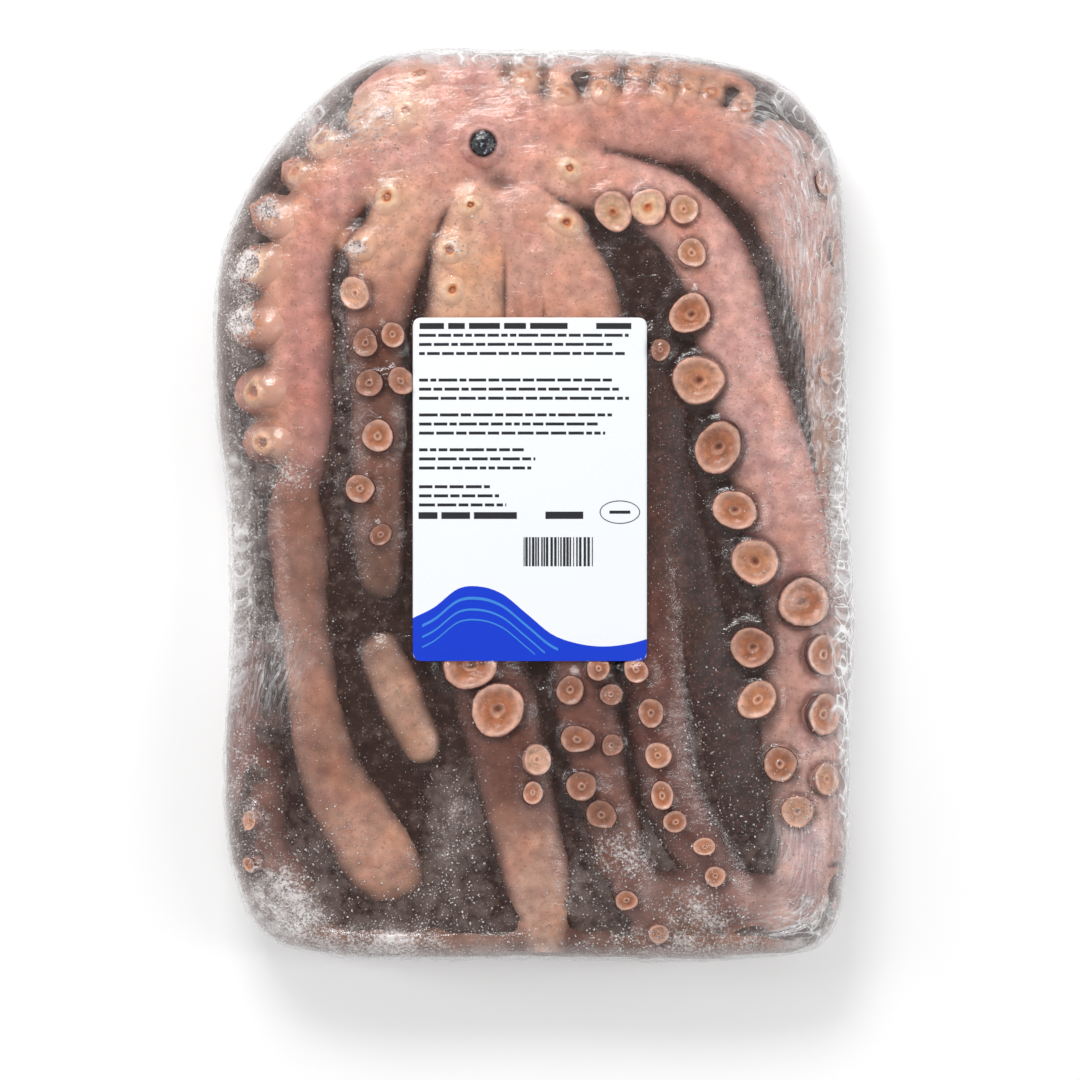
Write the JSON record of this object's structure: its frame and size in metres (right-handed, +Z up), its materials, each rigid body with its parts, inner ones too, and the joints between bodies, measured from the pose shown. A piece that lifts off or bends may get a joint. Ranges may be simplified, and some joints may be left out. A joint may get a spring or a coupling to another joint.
{
  "type": "frozen whole octopus in a film pack",
  "caption": "Whole raw octopus, arms folded down side by side with suckers out, frozen flat into an arched block, wrapped in tight clear film with a paper label.",
  "frame": {"origin": "under the middle of the pack, on the surface it lies on", "axes": "+Z up out of the shown side, +Y along the pack from the arm tips towards the mouth, +X to the right with +Y away"},
  "size_m": [0.2526, 0.3572, 0.0563],
  "materials": {
    "octopus_skin": "wet pink and tan skin, frozen",
    "sucker_flesh": "wet orange-pink cups with a pale rim",
    "beak": "hard, near black, shiny",
    "ice_glaze": "cloudy dark ice between the arms",
    "frost": "white ice crystals",
    "film": "thin clear plastic film, drawn tight and creased",
    "label_paper": "coated white paper",
    "label_blue": "blue print",
    "label_light_blue": "light blue print",
    "label_black": "black print"
  },
  "bodies": {
    "root": {"octopus_pack": "octopus_skin", "label": "label_paper"}
  },
  "joints": []
}
